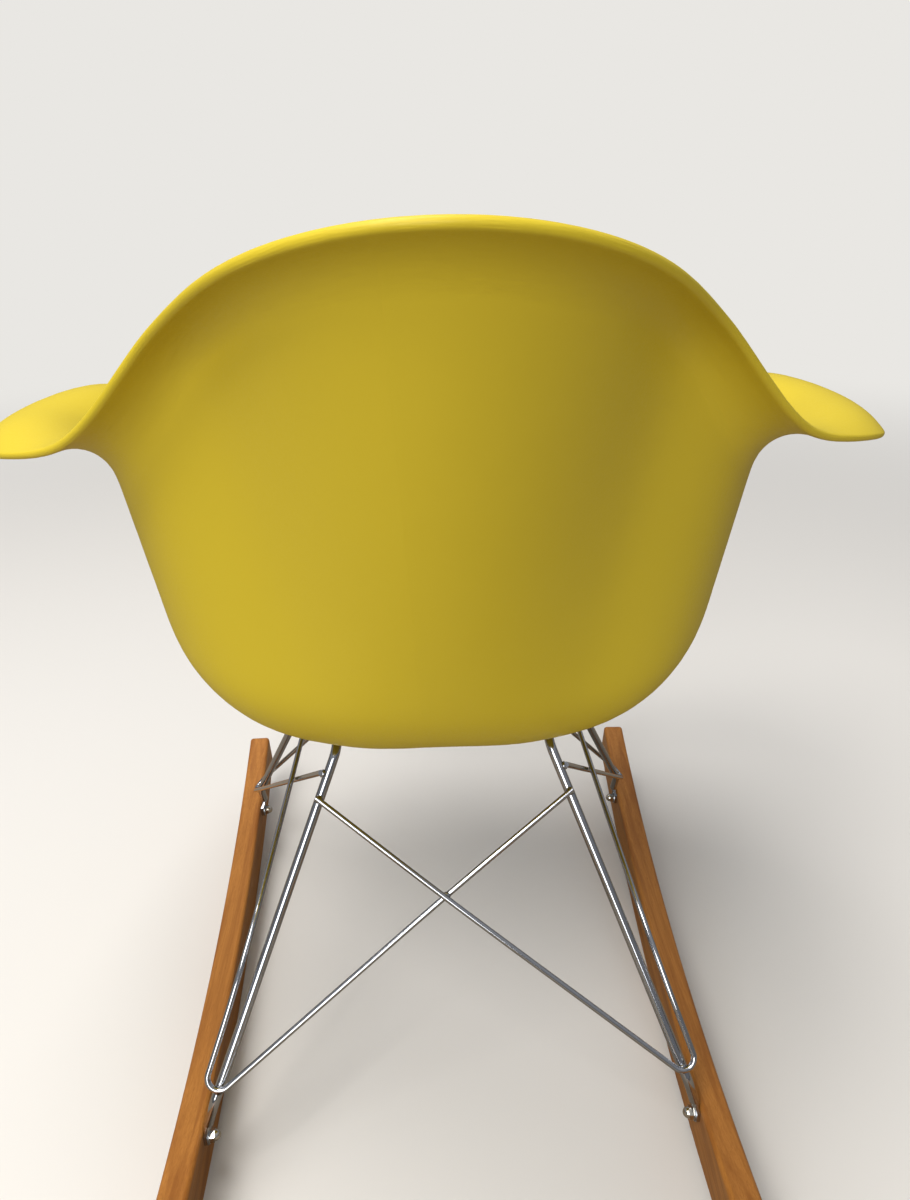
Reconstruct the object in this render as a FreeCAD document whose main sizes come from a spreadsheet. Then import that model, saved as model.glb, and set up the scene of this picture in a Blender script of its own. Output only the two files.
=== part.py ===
"""Rocking armchair: moulded plastic shell on a chromed rod base with two wooden rockers.

Millimetres, +Z up, the chair faces -Y, +X is its left side as the picture shows it from behind.
The origin is on the floor under the middle of the rockers.
"""
import FreeCAD, Part
import Sketcher
import math
import os

Vec = FreeCAD.Vector
Turn = FreeCAD.Rotation
Place = FreeCAD.Placement
UP = Vec(0, 0, 1)

doc = FreeCAD.newDocument("rocking_chair")
sheet = doc.addObject("Spreadsheet::Sheet", "Sizes")

# Driving sizes, in mm and degrees
SIZES = {
    # rockers
    "rocker_length": 700.0,
    "rocker_radius": 1500.0,
    "rocker_depth": 50.0,
    "rocker_width": 25.0,
    "rocker_half_spacing": 218.3,
    "rocker_toe_out": 2.3,
    "rocker_edge_round": 4.0,
    # feet: place of each bolt along the rocker and below its top edge
    "front_foot_y": -225.0,
    "rear_foot_y": 195.0,
    "foot_below_top": 12.0,
    "foot_thickness": 3.0,
    "foot_width": 15.0,
    "foot_plate_rise": 8.0,
    "foot_taper": 8.0,
    # legs and the rails under the seat
    "leg_diameter": 8.5,
    "leg_bend_radius": 18.0,
    "knee_height": 90.0,
    "rear_knee_x": 198.4,
    "rear_knee_y": 193.1,
    "front_knee_x": 224.8,
    "front_knee_y": -222.2,
    "rail_height": 334.5,
    "rear_corner_x": 91.9,
    "rear_corner_y": 39.2,
    "front_corner_x": 116.0,
    "front_corner_y": -115.1,
    "rear_cross_y": -8.0,
    "front_cross_y": -72.0,
    "cross_overhang": 8.0,
    # brace wires; each weld drop is measured down from the rail
    "brace_diameter": 5.0,
    "brace_bend_radius": 10.0,
    "weld_gap": 0.05,
    "rear_bend_height": 100.5,
    "rear_bend_outset": 4.7,
    "rear_weld_drop": 37.5,
    "brace_tail": 3.0,
    "crossing_gap": 1.9,
    "side_turn_height": 184.0,
    "side_belly_x": 150.5,
    "side_belly_y": 5.0,
    "side_belly_z": 245.0,
    "side_weld_drop": 31.5,
    "front_bend_height": 88.0,
    "front_bend_outset": 3.0,
    "front_arm_x": 70.0,
    "front_side_weld_drop": 20.5,
    # seat fixings
    "rear_mount_y": 16.0,
    "front_mount_y": -96.0,
    "mount_inset": 14.0,
    "tab_thickness": 3.0,
    "tab_width": 32.0,
    "pad_diameter": 32.0,
    "pad_height": 8.0,
    "pad_bore": 9.0,
    "boss_diameter": 34.0,
    "boss_height": 2.25,
    "boss_cover": 0.8,
    "insert_diameter": 10.0,
    "insert_length": 6.0,
    "screw_diameter": 6.0,
    "screw_reach": 5.0,
    "screw_head_diameter": 10.0,
    "screw_head_height": 4.0,
    "hole_clearance": 0.3,
    "thread_clearance": 0.05,
    "washer_thickness": 1.2,
    "seat_washer_diameter": 14.0,
    # rocker bolts
    "bolt_diameter": 6.0,
    "foot_rod_clearance": 0.5,
    "bolt_head_diameter": 12.0,
    "bolt_head_height": 3.5,
    "counterbore_diameter": 15.0,
    "counterbore_depth": 5.5,
    "rocker_washer_diameter": 13.5,
    "nut_across_flats": 10.0,
    "nut_hex_height": 4.0,
    "nut_dome_radius": 4.7,
    # seat shell
    "wall": 6.0,
    "pan_centre_y": -29.5,
    "pan_flat_radius": 40.0,
}

# Shell stations round the pan: direction from the back in degrees, then the flat reach of the pan,
# the bend radius, the wall's lean from upright, the height of the top above the pan's mid surface,
# the flare radius and the turn of the flare
FIELDS = ("angle", "reach", "bend", "lean", "crest", "flare", "turn")
STATIONS = {
    "back": (0.0, 51.0, 151.1, 23.8, 408.9, 60.5, 44.4),
    "quarter": (32.0, 82.0, 108.4, 12.3, 355.8, 31.3, 87.8),
    "shoulder": (56.0, 103.3, 112.1, 9.9, 274.8, 37.6, 100.6),
    "arm_root": (78.0, 105.1, 122.2, 8.4, 271.4, 52.8, 139.8),
    "arm": (100.0, 108.0, 98.0, 8.7, 268.8, 48.5, 139.0),
    "arm_front": (122.0, 113.2, 95.1, 23.3, 217.1, 55.9, 102.2),
    "corner": (146.0, 88.5, 158.5, 59.5, 79.5, 53.5, 67.0),
    "front": (180.0, 57.5, 194.0, 67.5, 49.0, 52.7, 63.7),
}
for station, values in STATIONS.items():
    for field, value in zip(FIELDS, values):
        SIZES[station + "_" + field] = value

for row, (alias, value) in enumerate(SIZES.items(), start=1):
    sheet.set("A%d" % row, alias)
    sheet.set("B%d" % row, str(value))
    sheet.setAlias("B%d" % row, alias)
doc.recompute()


def size(alias):
    """Value of one cell of the sheet."""
    return float(getattr(sheet, alias))


def bind(thing, **expressions):
    """Tie properties of a document object to the sheet."""
    for name, expression in expressions.items():
        thing.setExpression(name, expression)


def cell(alias):
    return "Sizes." + alias


SIDES = {"left": 1, "right": -1}
ENDS = ("front", "rear")

leg_radius = size("leg_diameter") / 2
brace_radius = size("brace_diameter") / 2
touch = leg_radius + brace_radius + size("weld_gap")
toe = math.radians(size("rocker_toe_out"))

# Heights stacked up from the rails to the pan
tab_bottom = size("rail_height") + leg_radius
tab_top = tab_bottom + size("tab_thickness")
pad_top = tab_top + size("pad_height")
pan_bottom = pad_top + size("boss_height")
pan_mid = pan_bottom + size("wall") / 2
pan_top = pan_bottom + size("wall")
cross_height = size("rail_height") - 2 * leg_radius


def lerp(start, end, share):
    return start + (end - start) * share


def part_feature(label, shape, place=None):
    """A sub-part whose solid is worked out here from the sheet's sizes."""
    thing = doc.addObject("Part::Feature", label)
    thing.Label = label
    thing.Shape = shape
    thing.Placement = place or Place()
    return thing


# Places of the feet on the rockers
def rocker_top(along):
    """Height of the rocker's top edge at a distance along it."""
    inner = size("rocker_radius") - size("rocker_depth")
    return size("rocker_radius") - math.sqrt(inner ** 2 - along ** 2)


def foot_place(end, side):
    """Placement of a bolt on the rocker's inner face: local +X points into the rocker."""
    along = size(end + "_foot_y")
    height = rocker_top(along) - size("foot_below_top")
    turn = Turn(UP, math.degrees(toe) * side)
    base = turn.multVec(Vec(0, along, 0)) + Vec(side * size("rocker_half_spacing"), 0, height)
    if side < 0:
        turn = turn.multiply(Turn(UP, 180))
    return Place(base, turn)


# Rockers: a sketched arc band, padded to the width, with counterbored bolt holes
def origin_plane(body, role):
    return next(item for item in body.Origin.OriginFeatures if item.Role == role)


def new_sketch(body, label, role):
    sketch = body.newObject("Sketcher::SketchObject", label)
    sketch.AttachmentSupport = (origin_plane(body, role), [""])
    sketch.MapMode = "FlatFace"
    return sketch


def rocker(label, side):
    body = doc.addObject("PartDesign::Body", label)
    body.Label = label
    sketch = new_sketch(body, label + "_outline", "YZ_Plane")
    outer = size("rocker_radius")
    inner = outer - size("rocker_depth")
    half = math.asin(size("rocker_length") / 2 / outer)
    centre = Vec(0, outer, 0)
    down = -math.pi / 2

    def rim(radius, angle):
        return centre + Vec(radius * math.cos(down + angle), radius * math.sin(down + angle), 0)

    def arc(radius):
        return Part.ArcOfCircle(Part.Circle(centre, Vec(0, 0, 1), radius), down - half, down + half)

    under = sketch.addGeometry(arc(outer))
    above = sketch.addGeometry(arc(inner))
    front = sketch.addGeometry(Part.LineSegment(rim(outer, -half), rim(inner, -half)))
    rear = sketch.addGeometry(Part.LineSegment(rim(outer, half), rim(inner, half)))
    add = sketch.addConstraint
    constraint = Sketcher.Constraint
    add(constraint("Coincident", under, 1, front, 1))
    add(constraint("Coincident", above, 1, front, 2))
    add(constraint("Coincident", under, 2, rear, 1))
    add(constraint("Coincident", above, 2, rear, 2))
    add(constraint("PointOnObject", under, 3, -2))
    add(constraint("Coincident", above, 3, under, 3))
    add(constraint("PointOnObject", under, 3, front))
    add(constraint("PointOnObject", under, 3, rear))
    add(constraint("Symmetric", under, 1, under, 2, -2))
    named = {
        "radius": (add(constraint("Radius", under, outer)), cell("rocker_radius")),
        "inner": (add(constraint("Radius", above, inner)),
                  cell("rocker_radius") + " - " + cell("rocker_depth")),
        "height": (add(constraint("DistanceY", -1, 1, under, 3, outer)), cell("rocker_radius")),
        "span": (add(constraint("DistanceX", under, 1, under, 2, size("rocker_length"))),
                 cell("rocker_length")),
    }
    for name, (index, expression) in named.items():
        sketch.renameConstraint(index, name)
        sketch.setExpression("Constraints." + name, expression)
    pad = body.newObject("PartDesign::Pad", label + "_band")
    pad.Profile = sketch
    bind(pad, Length=cell("rocker_width"))
    pad.Reversed = side < 0
    doc.recompute()
    rounds = body.newObject("PartDesign::Fillet", label + "_rounds")
    rounds.Base = (pad, ["Edge%d" % (number + 1) for number in range(len(pad.Shape.Edges))])
    bind(rounds, Radius=cell("rocker_edge_round"))
    doc.recompute()
    holes = new_sketch(body, label + "_holes", "YZ_Plane")
    bolt_radius = size("bolt_diameter") / 2 + size("hole_clearance")
    for end in ENDS:
        along = size(end + "_foot_y")
        spot = Vec(along, rocker_top(along) - size("foot_below_top"), 0)
        holes.addGeometry(Part.Circle(spot, Vec(0, 0, 1), bolt_radius))
    drill = body.newObject("PartDesign::Pocket", label + "_drilling")
    drill.Profile = holes
    drill.Type = "ThroughAll"
    drill.Reversed = side > 0
    sinks = new_sketch(body, label + "_sinks", "YZ_Plane")
    bind(sinks, **{"AttachmentOffset.Base.z": "%d * %s" % (side, cell("rocker_width"))})
    for end in ENDS:
        along = size(end + "_foot_y")
        spot = Vec(along, rocker_top(along) - size("foot_below_top"), 0)
        sinks.addGeometry(Part.Circle(spot, Vec(0, 0, 1), size("counterbore_diameter") / 2))
    sink = body.newObject("PartDesign::Pocket", label + "_counterbores")
    sink.Profile = sinks
    bind(sink, Length=cell("counterbore_depth"))
    sink.Reversed = side < 0
    body.Placement = Place(Vec(side * size("rocker_half_spacing"), 0, 0),
                           Turn(UP, math.degrees(toe) * side))
    return body


# Rods: a round section carried along straight runs and tangent bends
def bent_path(points, radius):
    """Wire through the points, each inner corner rounded by a tangent arc."""
    edges = []
    start = points[0]
    for before, corner, after in zip(points, points[1:], points[2:]):
        incoming = (corner - before).normalize()
        outgoing = (after - corner).normalize()
        angle = incoming.getAngle(outgoing)
        bend = radius(corner) if callable(radius) else radius
        back = bend * math.tan(angle / 2)
        enter = corner - incoming * back
        leave = corner + outgoing * back
        middle = corner + (outgoing - incoming).normalize() * bend * (1 / math.cos(angle / 2) - 1)
        edges.append(Part.LineSegment(start, enter).toShape())
        edges.append(Part.Arc(enter, middle, leave).toShape())
        start = leave
    edges.append(Part.LineSegment(start, points[-1]).toShape())
    return Part.Wire(edges)


def bent_rod(points, radius, rod_radius):
    path = bent_path(points, radius)
    heading = (points[1] - points[0]).normalize()
    section = Part.Wire(Part.makeCircle(rod_radius, points[0], heading))
    return path.makePipeShell([section], True, False)


def mirrored(point, side):
    return Vec(point.x * side, point.y, point.z)


knees = {end: Vec(size(end + "_knee_x"), size(end + "_knee_y"), size("knee_height"))
         for end in ENDS}
corners = {end: Vec(size(end + "_corner_x"), size(end + "_corner_y"), size("rail_height"))
           for end in ENDS}


def leg_point(end, height):
    """Point on the straight axis of a left leg, carried on above and below its bends."""
    share = (height - knees[end].z) / (corners[end].z - knees[end].z)
    return lerp(knees[end], corners[end], share)


def weld_point(end, drop):
    """Point on a left leg's axis where a wire is welded, a named drop below the rail."""
    return leg_point(end, size("rail_height") - size(drop))


def leg_heading(end):
    return (corners[end] - knees[end]).normalize()


def rail_x(along):
    """Distance of the left rail's axis from the middle at a place along the chair."""
    share = (along - corners["rear"].y) / (corners["front"].y - corners["rear"].y)
    return lerp(corners["rear"].x, corners["front"].x, share)


def foot_plate():
    """Flattened rod end: a plate with a round lower end and a bolt hole, against the rocker."""
    half = size("foot_width") / 2
    rise = size("foot_plate_rise")
    thick = size("foot_thickness")
    lower = Part.Arc(Vec(0, -half, 0), Vec(0, 0, -half), Vec(0, half, 0)).toShape()
    sides = [Part.LineSegment(Vec(0, half, 0), Vec(0, half, rise)).toShape(),
             Part.LineSegment(Vec(0, half, rise), Vec(0, -half, rise)).toShape(),
             Part.LineSegment(Vec(0, -half, rise), Vec(0, -half, 0)).toShape()]
    plate = Part.Face(Part.Wire([lower] + sides)).extrude(Vec(-thick, 0, 0))
    hole_radius = size("bolt_diameter") / 2 + size("hole_clearance")
    return plate.cut(Part.makeCylinder(hole_radius, thick, Vec(-thick, 0, 0), Vec(1, 0, 0)))


def plate_top_wire(place):
    """Outline of the foot plate's top, where the round rod grows out of it."""
    half = size("foot_width") / 2
    rise = size("foot_plate_rise")
    thick = size("foot_thickness")
    spots = [Vec(0, -half, rise), Vec(0, half, rise), Vec(-thick, half, rise),
             Vec(-thick, -half, rise)]
    spots = [place.multVec(spot) for spot in spots]
    return Part.makePolygon(spots + spots[:1])


def foot_top(end, side):
    """Middle of the round rod's lower end, above the foot plate."""
    clear = leg_radius + size("foot_rod_clearance")
    local = Vec(-clear, 0, size("foot_plate_rise") + size("foot_taper"))
    return foot_place(end, side).multVec(local)


def side_hoop(side):
    """One rod: rear foot, rear leg, rail under the seat, front leg, front foot."""
    points = [foot_top("rear", side), mirrored(knees["rear"], side),
              mirrored(corners["rear"], side), mirrored(corners["front"], side),
              mirrored(knees["front"], side), foot_top("front", side)]
    hoop = bent_rod(points, size("leg_bend_radius"), leg_radius)
    for end, first, second in (("rear", points[0], points[1]), ("front", points[-1], points[-2])):
        place = foot_place(end, side)
        plate = foot_plate()
        plate.Placement = place
        ring = Part.Wire(Part.makeCircle(leg_radius, first, (second - first).normalize()))
        taper = Part.makeLoft([plate_top_wire(place), ring], True, True)
        hoop = hoop.fuse([plate, taper])
    return hoop


# Braces: one wire at each foot, bent to a narrow V, its two arms welded to rods higher up
def offset_normal(first, second, towards):
    """Unit vector square to two directions, on the side that a hint points to."""
    normal = first.cross(second).normalize()
    return normal if normal.dot(towards) > 0 else normal * -1


def vertex_of(lowest, first, second):
    """Corner of a V whose rounded bend bottoms at a point, its arms aimed at two others."""
    vertex = lowest
    for _ in range(8):
        one = (first - vertex).normalize()
        two = (second - vertex).normalize()
        half = one.getAngle(two) / 2
        drop = size("brace_bend_radius") * (1 / math.sin(half) - 1)
        vertex = lowest - (one + two).normalize() * drop
    return vertex


def rear_brace(side):
    """V behind the left rear leg: one arm to the right rear leg, one forward to the front leg.

    The two long arms pass each other behind the seat, so one bows back and the other forward.
    """
    heading = leg_heading("rear")
    weld = mirrored(weld_point("rear", "rear_weld_drop"), -1)
    base = leg_point("rear", size("rear_bend_height"))
    behind = offset_normal(heading, Vec(1, 0, 0), Vec(0, 1, 0))
    outward = offset_normal(heading, behind, Vec(1, 0, 0))
    lowest = base + behind * touch + outward * size("rear_bend_outset")
    behind_other = offset_normal(mirrored(heading, -1), weld - lowest, Vec(0, 1, 0))
    weld = weld + behind_other * touch
    climb = (size("side_turn_height") - lowest.z) / heading.z
    turn = lowest + outward * size("brace_bend_radius") + heading * climb
    vertex = vertex_of(lowest, weld, turn)
    tail = weld + (weld - vertex).normalize() * size("brace_tail")
    middle = lerp(vertex, weld, vertex.x / (vertex.x - weld.x))
    middle.y -= side * (brace_radius + size("crossing_gap") / 2)
    belly = Vec(size("side_belly_x"), size("side_belly_y"), size("side_belly_z"))
    end = weld_point("front", "side_weld_drop")
    end = end + offset_normal(leg_heading("front"), Vec(1, 0, 0), Vec(0, 1, 0)) * touch
    return [tail, middle, vertex, turn, belly, end]


def front_brace():
    """V round the left front leg: one arm up to the front cross rod, one back to the rear leg."""
    heading = leg_heading("front")
    before = offset_normal(heading, Vec(1, 0, 0), Vec(0, -1, 0))
    outward = offset_normal(heading, before, Vec(1, 0, 0))
    lowest = leg_point("front", size("front_bend_height"))
    lowest = lowest + before * touch + outward * size("front_bend_outset")
    cross_end = Vec(size("front_arm_x"), size("front_cross_y") - touch, cross_height)
    rear = weld_point("rear", "front_side_weld_drop")
    rear = rear + offset_normal(leg_heading("rear"), rear - lowest, Vec(1, 0, 0)) * touch
    vertex = vertex_of(lowest, cross_end, rear)
    tail = rear + (rear - vertex).normalize() * size("brace_tail")
    return [cross_end, vertex, tail]


def gentle(points, sharp_corner):
    """Bend radius for each corner: the tight V, and wide sweeps that use half of each run."""
    radii = {}
    for before, corner, after in zip(points, points[1:], points[2:]):
        angle = (corner - before).getAngle(after - corner)
        shorter = min((corner - before).Length, (after - corner).Length)
        radii[tuple(corner)] = 0.42 * shorter / math.tan(angle / 2)
    radii[tuple(sharp_corner)] = size("brace_bend_radius")
    return lambda corner: radii[tuple(corner)]


def brace(points, vertex, side):
    """One wire: a tight bend at the vertex and sweeping bends elsewhere."""
    points = [mirrored(point, side) for point in points]
    return bent_rod(points, gentle(points, points[vertex]), brace_radius)


# Seat shell: a skin of one profile for each direction round the pan
DIRECTIONS = 72
FLOOR_STEPS, BEND_STEPS, WALL_STEPS, FLARE_STEPS, NOSE_STEPS = 3, 10, 8, 10, 6


def along_stations(field, angle):
    """Smooth value of one station field at a direction between 0 at the back and 180 in front."""
    spots = [size(name + "_angle") for name in STATIONS]
    values = [size(name + "_" + field) for name in STATIONS]
    last = len(spots) - 1
    index = max(i for i in range(last) if spots[i] <= angle)
    slopes = []
    for i in (index, index + 1):
        if i in (0, last):
            slopes.append(0.0)
        else:
            slopes.append((values[i + 1] - values[i - 1]) / (spots[i + 1] - spots[i - 1]))
    width = spots[index + 1] - spots[index]
    step = (angle - spots[index]) / width
    return ((2 * step ** 3 - 3 * step ** 2 + 1) * values[index]
            + (step ** 3 - 2 * step ** 2 + step) * width * slopes[0]
            + (3 * step ** 2 - 2 * step ** 3) * values[index + 1]
            + (step ** 3 - step ** 2) * width * slopes[1])


def profile(angle):
    """Reach and height of the mid surface from the pan's flat out to the rim's rounded nose."""
    reach, bend, lean, crest, flare, turn = (along_stations(field, angle) for field in FIELDS[1:])
    rise = math.radians(90 - lean)
    end = rise - math.radians(turn)
    gain = flare * (1 - math.cos(rise)) if end <= 0 else flare * (math.cos(end) - math.cos(rise))
    wall = (crest - bend * (1 - math.cos(rise)) - gain) / math.sin(rise)
    points = []
    for step in range(FLOOR_STEPS):
        points.append((lerp(size("pan_flat_radius"), reach, step / FLOOR_STEPS), 0.0))
    for step in range(BEND_STEPS):
        part = rise * step / (BEND_STEPS - 1)
        points.append((reach + bend * math.sin(part), bend * (1 - math.cos(part))))
    foot_r, foot_z = points[-1]
    for step in range(1, WALL_STEPS + 1):
        run = wall * step / WALL_STEPS
        points.append((foot_r + run * math.cos(rise), foot_z + run * math.sin(rise)))
    top_r, top_z = points[-1]
    nose_start = end + size("wall") / 2 / flare
    for step in range(1, FLARE_STEPS + 1):
        part = lerp(rise, nose_start, step / FLARE_STEPS)
        points.append((top_r + flare * (math.sin(rise) - math.sin(part)),
                       top_z + flare * (math.cos(part) - math.cos(rise))))
    return points


def mid_surface():
    """Grid of mid surface points: one row for each direction all the way round."""
    rows = []
    for count in range(DIRECTIONS):
        bearing = 360.0 * count / DIRECTIONS
        turn = math.radians(bearing)
        points = profile(min(bearing, 360.0 - bearing))
        rows.append([Vec(r * math.sin(turn), size("pan_centre_y") + r * math.cos(turn), pan_mid + z)
                     for r, z in points])
    return rows


def inward_normals(rows):
    """Unit normals of the grid, pointing to the sitter's side."""
    normals = []
    for count, row in enumerate(rows):
        after = rows[(count + 1) % DIRECTIONS]
        before = rows[count - 1]
        line = []
        for place in range(len(row)):
            outer = row[min(place + 1, len(row) - 1)]
            inner = row[max(place - 1, 0)]
            line.append((outer - inner).cross(after[place] - before[place]).normalize())
        normals.append(line)
    if normals[0][0].z < 0:
        normals = [[normal * -1 for normal in line] for line in normals]
    return normals


def shell_skin():
    half = size("wall") / 2
    rows = mid_surface()
    normals = inward_normals(rows)
    poles = []
    for row, line in zip(rows, normals):
        inner = [point + normal * half for point, normal in zip(row, line)]
        outer = [point - normal * half for point, normal in zip(row, line)]
        outward = (row[-1] - row[-2]).normalize()
        nose = []
        for step in range(1, NOSE_STEPS):
            part = math.pi * step / NOSE_STEPS
            nose.append(row[-1] + (line[-1] * math.cos(part) + outward * math.sin(part)) * half)
        poles.append(inner + nose + outer[::-1])
    count = len(poles[0])
    skin = Part.BSplineSurface()
    skin.buildFromPolesMultsKnots(
        poles,
        [1] * (DIRECTIONS + 1), [4] + [1] * (count - 4) + [4],
        list(range(DIRECTIONS + 1)), list(range(count - 2)),
        True, False, 3, 3)
    face = skin.toShape()
    caps = [Part.Face(Part.Wire([edge])) for edge in face.Edges
            if edge.isClosed() and edge.BoundBox.ZLength < size("wall") / 2
            and edge.BoundBox.XLength < 2.1 * size("pan_flat_radius")]
    shell = Part.makeShell([face] + caps)
    shell.sewShape()
    solid = Part.makeSolid(shell)
    if solid.Volume < 0:
        solid.reverse()
    return solid


def mount_spot(end, side, height):
    along = size(end + "_mount_y")
    return Vec(side * (rail_x(along) - size("mount_inset")), along, height)


def seat_shell():
    solid = shell_skin()
    boss_radius = size("boss_diameter") / 2
    spots = [(end, side) for end in ENDS for side in SIDES.values()]
    tall = pan_top - size("boss_cover") - pad_top
    bosses = [Part.makeCylinder(boss_radius, tall, mount_spot(end, side, pad_top))
              for end, side in spots]
    solid = solid.fuse(bosses)
    pockets = [Part.makeCylinder(size("insert_diameter") / 2, size("insert_length"),
                                 mount_spot(end, side, pad_top))
               for end, side in spots]
    return solid.cut(pockets).removeSplitter()


# Primitive helpers for the turned and drilled pieces
def cylinder(label, radius, height, lift="0"):
    thing = doc.addObject("Part::Cylinder", label)
    bind(thing, Radius=radius, Height=height, **{"Placement.Base.z": lift})
    return thing


def cut(label, base, tool):
    thing = doc.addObject("Part::Cut", label)
    thing.Base = base
    thing.Tool = tool
    return thing


def fuse(label, *pieces):
    thing = doc.addObject("Part::MultiFuse", label)
    thing.Shapes = list(pieces)
    return thing


def ring(label, outer, bore, height, lift="0"):
    """Washer, pad or insert: a cylinder with a bore all through."""
    body = cylinder(label + "_body", outer, height, lift)
    hole = cylinder(label + "_bore", bore, height, lift)
    return cut(label, body, hole)


def group(label, pieces):
    """Identical fasteners kept in one node as separate solids."""
    thing = doc.addObject("Part::Compound", label)
    thing.Label = label
    thing.Links = pieces
    return thing


def each_mount():
    for end in ENDS:
        for name, side in SIDES.items():
            yield end + "_" + name, end, side


def bolt_frame(end, side):
    """Placement of a rocker bolt: local +Z runs from the foot into the rocker."""
    place = foot_place(end, side)
    return place.multiply(Place(Vec(), Turn(Vec(0, 1, 0), 90)))


half_bolt = cell("bolt_diameter") + " / 2"
bolt_hole = half_bolt + " + " + cell("hole_clearance")
half_screw = cell("screw_diameter") + " / 2"
screw_hole = half_screw + " + " + cell("hole_clearance")
foot_thick = cell("foot_thickness")
washer_thick = cell("washer_thickness")


def shock_pad(label, end, side):
    pad = ring(label, cell("pad_diameter") + " / 2", cell("pad_bore") + " / 2", cell("pad_height"))
    pad.Label = label
    pad.Placement = Place(mount_spot(end, side, tab_top), Turn())
    return pad


def mounting_tab(label, end, side):
    """Plate welded on the rail: a slot outline from over the rod to the screw."""
    body = doc.addObject("PartDesign::Body", label)
    body.Label = label
    sketch = new_sketch(body, label + "_outline", "XY_Plane")
    half = size("tab_width") / 2
    over = side * size("mount_inset")
    quarter = math.pi / 2
    inner = Part.Circle(Vec(0, 0, 0), UP, half)
    outer = Part.Circle(Vec(over, 0, 0), UP, half)
    if side > 0:
        sketch.addGeometry(Part.ArcOfCircle(inner, quarter, 3 * quarter))
        sketch.addGeometry(Part.ArcOfCircle(outer, -quarter, quarter))
    else:
        sketch.addGeometry(Part.ArcOfCircle(inner, -quarter, quarter))
        sketch.addGeometry(Part.ArcOfCircle(outer, quarter, 3 * quarter))
    sketch.addGeometry(Part.LineSegment(Vec(0, half, 0), Vec(over, half, 0)))
    sketch.addGeometry(Part.LineSegment(Vec(0, -half, 0), Vec(over, -half, 0)))
    hole_radius = size("screw_diameter") / 2 + size("hole_clearance")
    sketch.addGeometry(Part.Circle(Vec(0, 0, 0), UP, hole_radius))
    pad = body.newObject("PartDesign::Pad", label + "_plate")
    pad.Profile = sketch
    bind(pad, Length=cell("tab_thickness"))
    body.Placement = Place(mount_spot(end, side, tab_bottom), Turn())
    return body


def threaded_insert(label, end, side):
    insert = ring(label, cell("insert_diameter") + " / 2",
                  half_screw + " + " + cell("thread_clearance"), cell("insert_length"))
    insert.Placement = Place(mount_spot(end, side, pad_top), Turn())
    return insert


def seat_washer(label, end, side):
    washer = ring(label, cell("seat_washer_diameter") + " / 2", screw_hole, washer_thick)
    height = tab_bottom - size("washer_thickness")
    washer.Placement = Place(mount_spot(end, side, height), Turn())
    return washer


def seat_screw(label, end, side):
    """Screw from below: a round head with a hexagon socket, and a shank up into the insert."""
    head_high = cell("screw_head_height")
    head = cylinder(label + "_head", cell("screw_head_diameter") + " / 2", head_high)
    reach = " + ".join([head_high, washer_thick, cell("tab_thickness"), cell("pad_height"),
                        cell("screw_reach")])
    shank = cylinder(label + "_shank", half_screw, reach)
    socket = doc.addObject("Part::Prism", label + "_socket")
    socket.Polygon = 6
    bind(socket, Circumradius=cell("screw_diameter") + " * 0.4", Height=head_high + " * 0.6")
    screw = cut(label, fuse(label + "_blank", head, shank), socket)
    height = tab_bottom - size("washer_thickness") - size("screw_head_height")
    screw.Placement = Place(mount_spot(end, side, height), Turn())
    return screw


def rocker_bolt(label, end, side):
    """Bolt from the rocker's outer side: a low head in the counterbore, its tip in the nut."""
    seat_z = cell("rocker_width") + " - " + cell("counterbore_depth") + " + " + washer_thick
    tip = " + ".join([foot_thick, washer_thick, cell("nut_hex_height")])
    head = cylinder(label + "_head", cell("bolt_head_diameter") + " / 2",
                    cell("bolt_head_height"), seat_z)
    shank = cylinder(label + "_shank", half_bolt, seat_z + " + " + tip, "-(" + tip + ")")
    socket = doc.addObject("Part::Prism", label + "_socket")
    socket.Polygon = 6
    bind(socket, Circumradius=cell("bolt_diameter") + " * 0.38",
         Height=cell("bolt_head_height"),
         **{"Placement.Base.z": seat_z + " + " + cell("bolt_head_height") + " * 0.35"})
    bolt = cut(label, fuse(label + "_blank", head, shank), socket)
    bolt.Placement = bolt_frame(end, side)
    return bolt


def head_washer(label, end, side):
    washer = ring(label, cell("rocker_washer_diameter") + " / 2", bolt_hole, washer_thick,
                  cell("rocker_width") + " - " + cell("counterbore_depth"))
    washer.Placement = bolt_frame(end, side)
    return washer


def nut_washer(label, end, side):
    washer = ring(label, cell("rocker_washer_diameter") + " / 2", bolt_hole, washer_thick,
                  "-(" + foot_thick + " + " + washer_thick + ")")
    washer.Placement = bolt_frame(end, side)
    return washer


def cap_nut(label, end, side):
    """Hexagon with a dome on its outer end and a blind thread from the washer side."""
    seat_z = foot_thick + " + " + washer_thick
    hexagon = doc.addObject("Part::Prism", label + "_hexagon")
    hexagon.Polygon = 6
    bind(hexagon, Circumradius=cell("nut_across_flats") + " / 2 / cos(30)",
         Height=cell("nut_hex_height"),
         **{"Placement.Base.z": "-(" + seat_z + " + " + cell("nut_hex_height") + ")"})
    dome = doc.addObject("Part::Sphere", label + "_dome")
    bind(dome, Radius=cell("nut_dome_radius"),
         **{"Placement.Base.z": "-(" + seat_z + " + " + cell("nut_hex_height") + ")"})
    dome.Angle1 = -90
    dome.Angle2 = 0
    thread = cylinder(label + "_thread", half_bolt + " + " + cell("thread_clearance"),
                      cell("nut_hex_height") + " + 1", "-(" + seat_z + " + "
                      + cell("nut_hex_height") + " + 1)")
    nut = cut(label, fuse(label + "_blank", hexagon, dome), thread)
    nut.Placement = bolt_frame(end, side)
    return nut


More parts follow.
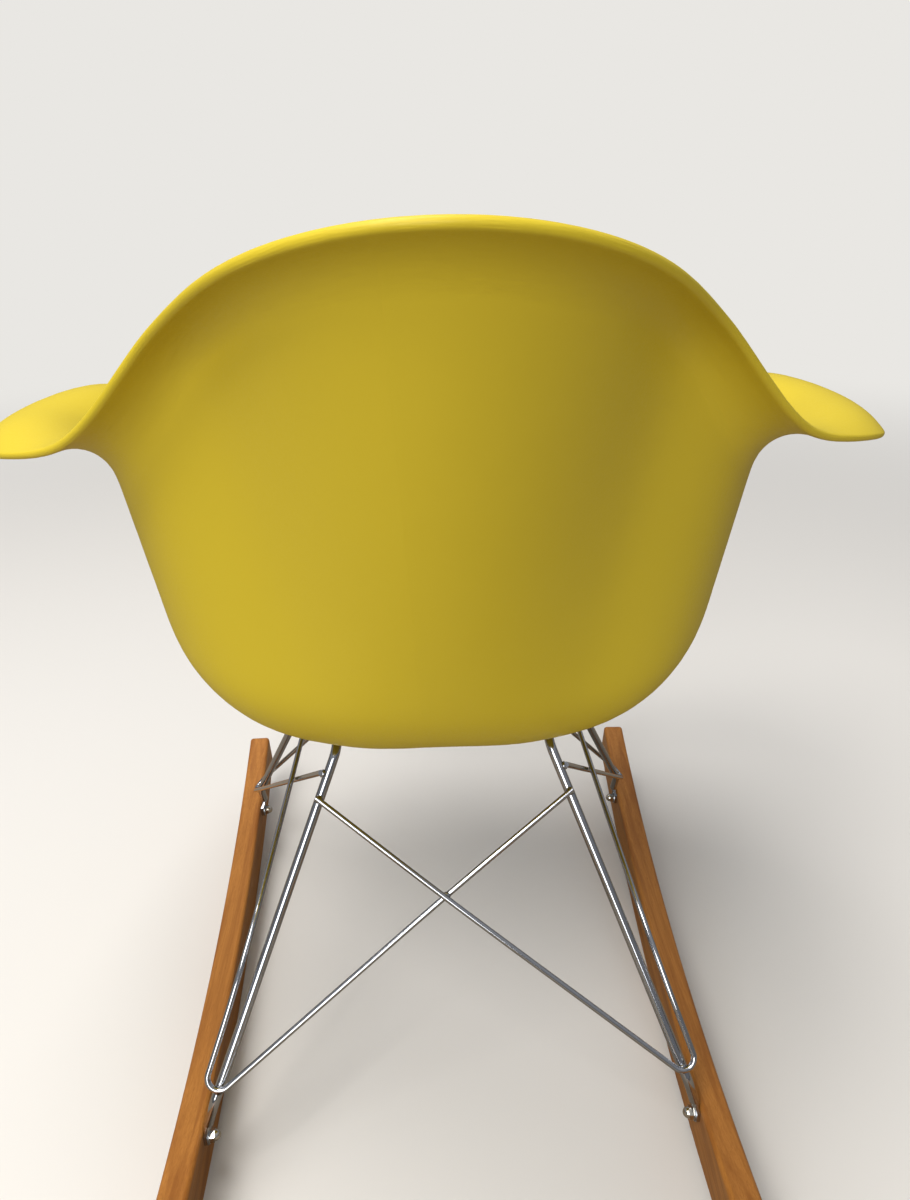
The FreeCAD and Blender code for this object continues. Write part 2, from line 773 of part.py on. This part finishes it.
def cross_rod(label, end):
    """Round rod under the two rails, ending a little outside them."""
    along = size(end + "_cross_y")
    half = rail_x(along) + size("cross_overhang")
    rod = doc.addObject("Part::Cylinder", label)
    rod.Label = label
    bind(rod, Radius=cell("leg_diameter") + " / 2")
    rod.Height = 2 * half
    rod.Placement = Place(Vec(-half, along, cross_height), Turn(Vec(0, 1, 0), 90))
    return rod


# Assembly
nodes = []
nodes.append(part_feature("seat_shell", seat_shell()))
for name, side in SIDES.items():
    nodes.append(rocker("rocker_" + name, side))
    nodes.append(part_feature("side_hoop_" + name, side_hoop(side)))
    nodes.append(part_feature("rear_brace_" + name, brace(rear_brace(side), 2, side)))
    nodes.append(part_feature("front_brace_" + name, brace(front_brace(), 1, side)))
for end in ENDS:
    nodes.append(cross_rod(end + "_cross_rod", end))
for name, end, side in each_mount():
    nodes.append(mounting_tab("mounting_tab_" + name, end, side))
    nodes.append(shock_pad("shock_pad_" + name, end, side))
FASTENERS = {
    "threaded_inserts": threaded_insert,
    "seat_screws": seat_screw,
    "seat_washers": seat_washer,
    "rocker_bolts": rocker_bolt,
    "bolt_head_washers": head_washer,
    "nut_washers": nut_washer,
    "cap_nuts": cap_nut,
}
for label, make in FASTENERS.items():
    pieces = [make(label + "_" + name, end, side) for name, end, side in each_mount()]
    nodes.append(group(label, pieces))
doc.recompute()

# Check and write
for thing in doc.Objects:
    if "Invalid" in thing.State or "Error" in thing.State:
        raise RuntimeError("failed object: " + thing.Name)
os.makedirs("parts", exist_ok=True)
for node in nodes:
    if node.Shape.isNull() or not node.Shape.isValid():
        raise RuntimeError("bad solid: " + node.Label)
    node.Shape.exportStep("parts/" + node.Label + ".step")
    box = node.Shape.BoundBox
    print("%-26s solids %d  volume %9.0f  x %7.1f %7.1f  y %7.1f %7.1f  z %6.1f %6.1f" % (
        node.Label, len(node.Shape.Solids), node.Shape.Volume,
        box.XMin, box.XMax, box.YMin, box.YMax, box.ZMin, box.ZMax))
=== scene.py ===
"""Moulded rocking armchair: finishes, weld beads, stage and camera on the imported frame.

Metres, +Z up; the chair faces -Y, and the camera stands behind and above it.
"""
import math

import bpy
from mathutils import Matrix, Vector
from mathutils.bvhtree import BVHTree


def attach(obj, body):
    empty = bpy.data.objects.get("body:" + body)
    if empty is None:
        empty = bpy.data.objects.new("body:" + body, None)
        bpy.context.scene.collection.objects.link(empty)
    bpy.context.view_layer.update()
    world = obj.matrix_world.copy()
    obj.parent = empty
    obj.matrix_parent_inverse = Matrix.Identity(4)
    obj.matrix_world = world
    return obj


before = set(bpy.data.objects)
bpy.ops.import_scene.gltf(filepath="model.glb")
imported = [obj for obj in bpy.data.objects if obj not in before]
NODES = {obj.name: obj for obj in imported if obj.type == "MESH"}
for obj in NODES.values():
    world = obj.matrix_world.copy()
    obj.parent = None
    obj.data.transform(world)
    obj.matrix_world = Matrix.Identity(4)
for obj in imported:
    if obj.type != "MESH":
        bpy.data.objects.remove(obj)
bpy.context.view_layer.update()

bl_info = {
    "name": "Moulded rocking armchair",
    "version": (1, 0, 0),
    "blender": (4, 5, 0),
    "location": "View3D > Sidebar > Chair",
    "description": "Finishes a moulded rocking armchair on its frame",
    "category": "Object",
}

MM = 0.001

AIM = (0, 0, 0.5)
LAMPS = (  # name, place and side in metres, power in watts, colour
    ("key", (1.4, 1.5, 3.4), 1.4, 62, "#FFFCF8"),
    ("top", (0.6, -0.2, 3.6), 1.4, 52, "#FFFCF8"),
    ("fill", (1.35, 5.4, 2.6), 3.3, 190, "#FFFFFF"),
)


def linear(code):
    """Linear colour of an sRGB hex value."""
    parts = [int(code[i:i + 2], 16) / 255 for i in (1, 3, 5)]
    return tuple(p / 12.92 if p <= 0.04045 else ((p + 0.055) / 1.055) ** 2.4 for p in parts)


def colour_property(name, code, description):
    return bpy.props.FloatVectorProperty(
        name=name, description=description, subtype="COLOR", size=3, min=0, max=1,
        default=linear(code))


def length_property(name, millimetres, description):
    return bpy.props.FloatProperty(
        name=name, description=description, default=millimetres * MM, min=0.00001,
        subtype="DISTANCE", unit="LENGTH", precision=5)


class ChairColours(bpy.types.PropertyGroup):
    shell: colour_property("Shell", "#D6BE30", "Dyed plastic of the shell")
    shell_deep: colour_property("Shell, deeper", "#D3BB2E", "Slightly denser dye in broad clouds")
    wood: colour_property("Maple", "#BB7C36", "Early wood of the rockers under clear lacquer")
    wood_dark: colour_property("Maple, late wood", "#8F541C", "Late wood lines of the rockers")
    wood_fleck: colour_property("Maple fleck", "#6A3B10", "Short dark flecks in the maple")
    chrome: colour_property("Chrome", "#B7B9BE", "Bright chromium plate")
    weld: colour_property("Plated weld", "#A9ABAF", "Weld bead under the same plate")
    rubber: colour_property("Rubber", "#1E1E1F", "Shock pads")
    zinc: colour_property("Zinc", "#B4B8BC", "Zinc plated washers, screws and bolts")
    nickel: colour_property("Nickel", "#D6D0C4", "Cap nuts")
    room: colour_property("Room light", "#F4F6FA", "Soft light from all round")
    floor: colour_property("Floor", "#E4E1DC", "Studio floor")
    bounce: colour_property("Floor's bounce", "#908575", "Floor as the chair sees it")
    backdrop: colour_property("Backdrop", "#E9E7E3", "What the camera sees behind the floor")


class ChairSizes(bpy.types.PropertyGroup):
    mould_grain: length_property("Mould grain", 1.6, "Grain of the mould's sparked face")
    flow_cloud: length_property("Dye cloud", 180, "Size of the faint clouds in the dye")
    ring_width: length_property("Growth rings", 7, "Distance between late wood lines")
    ring_length: length_property("Ring run", 260, "Length over which a late wood line wanders")
    fibre_width: length_property("Fibre width", 0.9, "Width of a bundle of fibres")
    fibre_length: length_property("Fibre length", 45, "Length of a bundle of fibres")
    fleck_width: length_property("Fleck width", 0.8, "Width of a maple fleck")
    fleck_length: length_property("Fleck length", 7, "Length of a maple fleck")
    plate_ripple: length_property("Plate ripple", 6, "Faint waviness of the plated rod")
    spangle: length_property("Zinc grain", 1.2, "Grain of the zinc plate")
    rubber_grain: length_property("Rubber grain", 0.8, "Grain of the moulded rubber")
    weld_bead: length_property("Weld bead", 2.6, "Half width of a weld bead")
    weld_gap: length_property("Weld gap", 2.6, "Widest gap between rods that a bead closes")
    weld_step: length_property("Weld search", 1, "Step along the rods in the search for contacts")
    weld_apart: length_property("Welds apart", 15, "Least distance between two welds of a pair")
    floor_radius: length_property("Floor radius", 9000, "Radius of the studio floor")
    fade_start: length_property("Fade start", 1300, "Where the floor starts to melt away")
    fade_end: length_property("Fade end", 3600, "Where the floor has become the backdrop")


def values():
    """The scene's colours and sizes."""
    scene = bpy.context.scene
    return scene.chair_colours, scene.chair_sizes


# Materials
def new_material(name):
    """An empty node tree with its shader: (material, tree, shader)."""
    material = bpy.data.materials.new(name)
    material.use_nodes = True
    tree = material.node_tree
    tree.nodes.clear()
    output = add(tree, "ShaderNodeOutputMaterial")
    shader = add(tree, "ShaderNodeBsdfPrincipled")
    tree.links.new(shader.outputs["BSDF"], output.inputs["Surface"])
    return material, tree, shader


def add(tree, kind, inputs=None, **settings):
    """Adds a node; inputs maps a socket's name or number to a value or to an output."""
    item = tree.nodes.new(kind)
    for key, value in settings.items():
        setattr(item, key, value)
    for key, value in (inputs or {}).items():
        if isinstance(value, bpy.types.NodeSocket):
            tree.links.new(value, item.inputs[key])
        else:
            item.inputs[key].default_value = value
    return item


def rgba(colour):
    """The colour with full alpha, as a socket takes it."""
    return tuple(colour) + (1.0,)


def place(tree, cell):
    """Object coordinates divided by a cell in metres, one number or one for each axis."""
    cell = cell if isinstance(cell, tuple) else (cell,) * 3
    spot = add(tree, "ShaderNodeTexCoord")
    return add(tree, "ShaderNodeMapping",
               {"Vector": spot.outputs["Object"], "Scale": tuple(1 / c for c in cell)}
               ).outputs["Vector"]


def noise(tree, cell, detail=2.0, roughness=0.5, distortion=0.0):
    """Noise whose lumps are about one cell across."""
    return add(tree, "ShaderNodeTexNoise",
               {"Vector": place(tree, cell), "Scale": 1.0, "Detail": detail,
                "Roughness": roughness, "Distortion": distortion}).outputs["Fac"]


def spread(tree, factor, low, high, start=0.3, end=0.7):
    """A factor's middle range stretched between two numbers."""
    return add(tree, "ShaderNodeMapRange",
               {"Value": factor, "From Min": start, "From Max": end,
                "To Min": low, "To Max": high}).outputs["Result"]


def mix(tree, factor, first, second):
    """Two colours, each a value or an output, mixed by a factor."""
    return add(tree, "ShaderNodeMix", {0: factor, 6: first, 7: second},
               data_type="RGBA").outputs[2]


def bump(tree, shader, height, distance, strength=1.0):
    """Relief of a height in metres on the shader's surface."""
    relief = add(tree, "ShaderNodeBump",
                 {"Height": height, "Distance": distance, "Strength": strength})
    tree.links.new(relief.outputs["Normal"], shader.inputs["Normal"])


def dress(material, names):
    """Puts a material in every slot of the named CAD nodes."""
    for name in names:
        for slot in NODES[name].material_slots:
            slot.material = material


def both(name):
    """The left and the right node of a pair."""
    return [name + "_left", name + "_right"]


def polypropylene():
    """Dyed polypropylene from a sparked steel mould: satin, with a fine even grain.

    The real grain is about half a millimetre; it is drawn coarser so that it shows.
    """
    colours, sizes = values()
    material, tree, shader = new_material("moulded_polypropylene_yellow")
    cloud = noise(tree, sizes.flow_cloud, detail=3)
    grain = noise(tree, sizes.mould_grain, detail=2, roughness=0.6)
    colour = mix(tree, spread(tree, cloud, 0, 1), rgba(colours.shell), rgba(colours.shell_deep))
    tree.links.new(colour, shader.inputs["Base Color"])
    tree.links.new(spread(tree, grain, 0.38, 0.5), shader.inputs["Roughness"])
    shader.inputs["IOR"].default_value = 1.49
    shader.inputs["Specular IOR Level"].default_value = 0.3
    bump(tree, shader, grain, 0.03 * MM)
    return material


def maple():
    """Planed maple under thin clear lacquer: fine fibres along the rocker, short dark flecks."""
    colours, sizes = values()
    material, tree, shader = new_material("lacquered_maple")
    rings = noise(tree, (sizes.ring_width, sizes.ring_length, sizes.ring_width * 1.6),
                  detail=2, distortion=0.6)
    fibres = noise(tree, (sizes.fibre_width, sizes.fibre_length, sizes.fibre_width),
                   detail=3, roughness=0.6)
    flecks = noise(tree, (sizes.fleck_width, sizes.fleck_length, sizes.fleck_width), detail=1)
    colour = mix(tree, spread(tree, rings, 0, 0.75, 0.4, 0.68), rgba(colours.wood),
                 rgba(colours.wood_dark))
    colour = mix(tree, spread(tree, fibres, 0, 0.45, 0.35, 0.7), colour, rgba(colours.wood_dark))
    colour = mix(tree, spread(tree, flecks, 0, 0.35, 0.66, 0.78), colour,
                 rgba(colours.wood_fleck))
    tree.links.new(colour, shader.inputs["Base Color"])
    tree.links.new(spread(tree, fibres, 0.36, 0.5), shader.inputs["Roughness"])
    shader.inputs["IOR"].default_value = 1.5
    shader.inputs["Specular IOR Level"].default_value = 0.35
    shader.inputs["Coat Weight"].default_value = 0.12
    shader.inputs["Coat Roughness"].default_value = 0.25
    bump(tree, shader, fibres, 0.05 * MM, 0.6)
    return material


def bright_plate(name, colour, low, high, ripple, relief):
    """Chromium or nickel on steel: a mirror, a little hazy in places, with a faint ripple.

    The roughness goes from low to high, and the relief is in metres.
    """
    material, tree, shader = new_material(name)
    wave = noise(tree, ripple, detail=2)
    haze = noise(tree, ripple * 0.35, detail=3, roughness=0.6)
    shader.inputs["Base Color"].default_value = rgba(colour)
    shader.inputs["Metallic"].default_value = 1.0
    tree.links.new(spread(tree, haze, low, high), shader.inputs["Roughness"])
    bump(tree, shader, wave, relief)
    return material


def rubber():
    """Moulded black rubber: dull, with a fine grain and a grey bloom."""
    colours, sizes = values()
    material, tree, shader = new_material("moulded_rubber_black")
    grain = noise(tree, sizes.rubber_grain, detail=3)
    bloom = noise(tree, sizes.rubber_grain * 12, detail=2)
    pale = tuple(min(1, c * 1.9 + 0.004) for c in colours.rubber)
    colour = mix(tree, spread(tree, bloom, 0, 0.8), rgba(colours.rubber), rgba(pale))
    tree.links.new(colour, shader.inputs["Base Color"])
    tree.links.new(spread(tree, grain, 0.62, 0.8), shader.inputs["Roughness"])
    bump(tree, shader, grain, 0.05 * MM)
    return material


def zinc_plate():
    """Zinc plated steel: grey, half bright, with a fine crystalline patchiness."""
    colours, sizes = values()
    material, tree, shader = new_material("zinc_plated_steel")
    patches = add(tree, "ShaderNodeTexVoronoi",
                  {"Vector": place(tree, sizes.spangle), "Scale": 1.0}).outputs["Distance"]
    shade = tuple(c * 0.82 for c in colours.zinc)
    colour = mix(tree, spread(tree, patches, 0, 1, 0.1, 0.8), rgba(colours.zinc), rgba(shade))
    tree.links.new(colour, shader.inputs["Base Color"])
    shader.inputs["Metallic"].default_value = 1.0
    tree.links.new(spread(tree, patches, 0.26, 0.42, 0.1, 0.8), shader.inputs["Roughness"])
    return material


class CHAIR_OT_shell(bpy.types.Operator):
    """Gives the seat shell its moulded plastic"""
    bl_idname = "chair.shell"
    bl_label = "Seat shell"

    def execute(self, context):
        dress(polypropylene(), ["seat_shell"])
        return {"FINISHED"}


class CHAIR_OT_rockers(bpy.types.Operator):
    """Gives the two rockers their lacquered maple"""
    bl_idname = "chair.rockers"
    bl_label = "Rockers"

    def execute(self, context):
        dress(maple(), both("rocker"))
        return {"FINISHED"}


class CHAIR_OT_rods(bpy.types.Operator):
    """Gives the hoops, braces, cross rods and mounting tabs their chromium plate"""
    bl_idname = "chair.rods"
    bl_label = "Rod base"

    def execute(self, context):
        colours, sizes = values()
        plate = bright_plate("bright_chromium_plate", colours.chrome, 0.05, 0.13,
                             sizes.plate_ripple, 0.01 * MM)
        dress(plate, both("side_hoop") + both("rear_brace") + both("front_brace")
              + ["front_cross_rod", "rear_cross_rod"]
              + both("mounting_tab_front") + both("mounting_tab_rear"))
        return {"FINISHED"}


def welded():
    """Rods that are welded together: one rod, the other and how many joints the two share."""
    yield "rear_brace_left", "rear_brace_right", 1
    for side, opposite in (("left", "right"), ("right", "left")):
        hoop = "side_hoop_" + side
        yield "rear_brace_" + side, hoop, 2
        yield "rear_brace_" + opposite, hoop, 1
        yield "front_brace_" + side, hoop, 2
        yield "front_brace_" + side, "front_cross_rod", 1
        yield "front_cross_rod", hoop, 1
        yield "rear_cross_rod", hoop, 1


class CHAIR_OT_welds(bpy.types.Operator):
    """Lays a small plated weld bead in each place where two rods are joined"""
    bl_idname = "chair.welds"
    bl_label = "Weld beads"

    def execute(self, context):
        colours, sizes = values()
        self.model_bead(sizes.weld_bead)
        beads = []
        for rod, other, count in welded():
            for joint in self.joints(NODES[rod], NODES[other], count, sizes):
                if beads:
                    bpy.ops.object.duplicate(linked=False)
                context.object.matrix_world = self.place(*joint, sizes.weld_bead)
                beads.append(context.object)
        for bead in beads:
            bead.select_set(True)
        bpy.ops.object.join()
        bpy.ops.object.transform_apply(location=True, rotation=True, scale=True)
        welds = context.object
        welds.name = "weld_beads"
        welds.data.materials.append(bright_plate("plated_weld_bead", colours.weld, 0.14, 0.3,
                                                 sizes.weld_bead, 0.05 * MM))
        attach(welds, "root")
        return {"FINISHED"}

    def model_bead(self, half):
        """A flat round bead whose two ends are insets raised to low domes."""
        sides = 20
        bpy.ops.object.select_all(action="DESELECT")
        bpy.ops.mesh.primitive_cylinder_add(vertices=sides, radius=half, depth=half * 0.5)
        bpy.ops.object.mode_set(mode="EDIT")
        bpy.ops.mesh.select_all(action="DESELECT")
        bpy.ops.mesh.select_face_by_sides(number=sides, type="EQUAL")
        bpy.ops.mesh.inset(thickness=half * 0.2, depth=half * 0.2)
        bpy.ops.mesh.inset(thickness=half * 0.35, depth=half * 0.15)
        bpy.ops.mesh.select_all(action="SELECT")
        bpy.ops.mesh.normals_make_consistent(inside=False)
        bpy.ops.object.mode_set(mode="OBJECT")
        bpy.ops.object.shade_smooth()

    def joints(self, rod, other, count, sizes):
        """The closest places of two rods: (gap, middle, direction across) of each."""
        tree = BVHTree.FromPolygons([other.matrix_world @ v.co for v in other.data.vertices],
                                    [face.vertices for face in other.data.polygons])
        corners = [rod.matrix_world @ v.co for v in rod.data.vertices]
        found = []
        for edge in rod.data.edges:
            start, end = (corners[i] for i in edge.vertices)
            steps = math.ceil((end - start).length / sizes.weld_step)
            for step in range(steps):
                spot = start.lerp(end, step / steps)
                near, across, _, gap = tree.find_nearest(spot, sizes.weld_gap)
                if near is not None:
                    found.append((gap, near.lerp(spot, 0.5), across))
        joints = []
        for gap, middle, across in sorted(found, key=lambda place: place[0]):
            if all((middle - kept[1]).length > sizes.weld_apart for kept in joints):
                joints.append((gap, middle, across))
        if len(joints) < count:
            raise RuntimeError(f"{rod.name} and {other.name} meet in {len(joints)} places")
        return joints[:count]

    def place(self, gap, middle, across, half):
        """A bead's matrix: its axis goes across the joint, and a wide gap makes it taller."""
        turn = across.to_track_quat("Z", "Y").to_matrix().to_4x4()
        return Matrix.Translation(middle) @ turn @ Matrix.Scale(1 + gap / half, 4, (0, 0, 1))


class CHAIR_OT_fixings(bpy.types.Operator):
    """Gives the screws, bolts, washers, inserts and cap nuts their plating"""
    bl_idname = "chair.fixings"
    bl_label = "Fixings"

    def execute(self, context):
        colours, sizes = values()
        dress(zinc_plate(), ["seat_screws", "seat_washers", "threaded_inserts", "rocker_bolts",
                             "bolt_head_washers", "nut_washers"])
        dress(bright_plate("bright_nickel_plate", colours.nickel, 0.1, 0.2,
                           sizes.plate_ripple / 3, 0.01 * MM), ["cap_nuts"])
        return {"FINISHED"}


class CHAIR_OT_pads(bpy.types.Operator):
    """Gives the four shock pads their black rubber"""
    bl_idname = "chair.pads"
    bl_label = "Shock pads"

    def execute(self, context):
        dress(rubber(), both("shock_pad_front") + both("shock_pad_rear"))
        return {"FINISHED"}


# Stage
def area_lamp(name, spot, side, power, colour):
    """A square lamp that faces the chair."""
    spot = Vector(spot)
    bpy.ops.object.light_add(type="AREA", location=spot)
    lamp = bpy.context.object
    lamp.name = name
    lamp.rotation_euler = (Vector(AIM) - spot).to_track_quat("-Z", "Y").to_euler()
    lamp.data.size = side
    lamp.data.energy = power
    lamp.data.color = linear(colour)


def seen_rays(tree):
    """One for rays that the camera sends out, nought for those that light the chair."""
    return add(tree, "ShaderNodeLightPath").outputs["Is Camera Ray"]


def backdrop():
    """A room's soft light, dim at the level of the chair, and a pale plain behind the floor."""
    colours, _ = values()
    world = bpy.context.scene.world or bpy.data.worlds.new("studio")
    bpy.context.scene.world = world
    world.use_nodes = True
    tree = world.node_tree
    tree.nodes.clear()
    height = add(tree, "ShaderNodeSeparateXYZ",
                 {"Vector": add(tree, "ShaderNodeTexCoord").outputs["Generated"]}).outputs["Z"]
    soft = add(tree, "ShaderNodeBackground",
               {"Color": rgba(colours.room), "Strength": spread(tree, height, 0.15, 0.45, 0, 0.8)})
    plain = add(tree, "ShaderNodeBackground", {"Color": rgba(colours.backdrop), "Strength": 1.0})
    blend = add(tree, "ShaderNodeMixShader",
                {0: seen_rays(tree), 1: soft.outputs[0], 2: plain.outputs[0]})
    add(tree, "ShaderNodeOutputWorld", {"Surface": blend.outputs[0]})


def floor_paper():
    """Matt pale paper that melts into the backdrop away from the chair."""
    colours, sizes = values()
    material, tree, shader = new_material("studio_floor_paper")
    tooth = noise(tree, 3 * MM, detail=3)
    colour = mix(tree, seen_rays(tree), rgba(colours.bounce), rgba(colours.floor))
    tree.links.new(colour, shader.inputs["Base Color"])
    shader.inputs["Roughness"].default_value = 0.9
    shader.inputs["Specular IOR Level"].default_value = 0.2
    bump(tree, shader, tooth, 0.02 * MM)
    spot = add(tree, "ShaderNodeTexCoord").outputs["Object"]
    away = add(tree, "ShaderNodeVectorMath", {0: spot}, operation="LENGTH").outputs["Value"]
    fade = add(tree, "ShaderNodeMapRange",
               {"Value": away, "From Min": sizes.fade_start, "From Max": sizes.fade_end},
               interpolation_type="SMOOTHSTEP").outputs["Result"]
    share = add(tree, "ShaderNodeMath", {0: fade, 1: seen_rays(tree)}, operation="MULTIPLY")
    glow = add(tree, "ShaderNodeEmission", {"Color": rgba(colours.backdrop), "Strength": 1.0})
    blend = add(tree, "ShaderNodeMixShader",
                {0: share.outputs[0], 1: shader.outputs["BSDF"], 2: glow.outputs[0]})
    output = next(item for item in tree.nodes if item.type == "OUTPUT_MATERIAL")
    tree.links.new(blend.outputs[0], output.inputs["Surface"])
    return material


class CHAIR_OT_stage(bpy.types.Operator):
    """Adds the floor, backdrop, lamps and camera"""
    bl_idname = "chair.stage"
    bl_label = "Stage"

    def execute(self, context):
        _, sizes = values()
        bpy.ops.object.select_all(action="DESELECT")
        bpy.ops.mesh.primitive_circle_add(vertices=96, radius=sizes.floor_radius,
                                          fill_type="NGON", location=(0, 0, 0))
        floor = bpy.context.object
        floor.name = "studio_floor"
        floor.data.materials.append(floor_paper())
        backdrop()
        for lamp in LAMPS:
            area_lamp(*lamp)
        self.camera(context)
        return {"FINISHED"}

    def camera(self, context):
        """The photograph's place and lens, found from the rockers, rods and nuts."""
        place = (0.0128, 0.6689, 0.7765)
        yaw, pitch, roll = -0.0384, 0.4532, -0.0103
        picture_width, focal_length, centre_below = 910, 870.6, 3.5  # pixels
        ahead = Vector((math.sin(yaw) * math.cos(pitch), -math.cos(yaw) * math.cos(pitch),
                        -math.sin(pitch)))
        level = Vector((-math.cos(yaw), -math.sin(yaw), 0))
        above = level.cross(ahead)
        right = level * math.cos(roll) + above * math.sin(roll)
        up = above * math.cos(roll) - level * math.sin(roll)
        bpy.ops.object.camera_add()
        camera = bpy.context.object
        camera.name = "photo_camera"
        turn = Matrix((right, up, -ahead)).transposed().to_4x4()
        camera.matrix_world = Matrix.Translation(place) @ turn
        camera.data.sensor_fit = "HORIZONTAL"
        camera.data.lens = camera.data.sensor_width * focal_length / picture_width
        camera.data.shift_y = centre_below / picture_width
        camera.data.clip_start = 0.01
        context.scene.camera = camera
        context.scene.view_settings.view_transform = "Standard"


class CHAIR_PT_panel(bpy.types.Panel):
    """Lists the chair's colours, sizes and steps"""
    bl_idname = "CHAIR_PT_panel"
    bl_label = "Rocking armchair"
    bl_space_type = "VIEW_3D"
    bl_region_type = "UI"
    bl_category = "Chair"

    def draw(self, context):
        for group in (context.scene.chair_colours, context.scene.chair_sizes):
            column = self.layout.column()
            for name in group.__annotations__:
                column.prop(group, name)
        for operator in OPERATORS:
            self.layout.operator(operator.bl_idname)


OPERATORS = (CHAIR_OT_shell, CHAIR_OT_rockers, CHAIR_OT_rods, CHAIR_OT_welds, CHAIR_OT_fixings,
             CHAIR_OT_pads, CHAIR_OT_stage)
CLASSES = (ChairColours, ChairSizes) + OPERATORS + (CHAIR_PT_panel,)


def register():
    for item in CLASSES:
        bpy.utils.register_class(item)
    bpy.types.Scene.chair_colours = bpy.props.PointerProperty(type=ChairColours)
    bpy.types.Scene.chair_sizes = bpy.props.PointerProperty(type=ChairSizes)


def unregister():
    del bpy.types.Scene.chair_colours, bpy.types.Scene.chair_sizes
    for item in reversed(CLASSES):
        bpy.utils.unregister_class(item)


def main():
    register()
    bpy.ops.chair.shell()
    bpy.ops.chair.rockers()
    bpy.ops.chair.rods()
    bpy.ops.chair.welds()
    bpy.ops.chair.fixings()
    bpy.ops.chair.pads()
    bpy.ops.chair.stage()


if __name__ == "__main__":
    main()
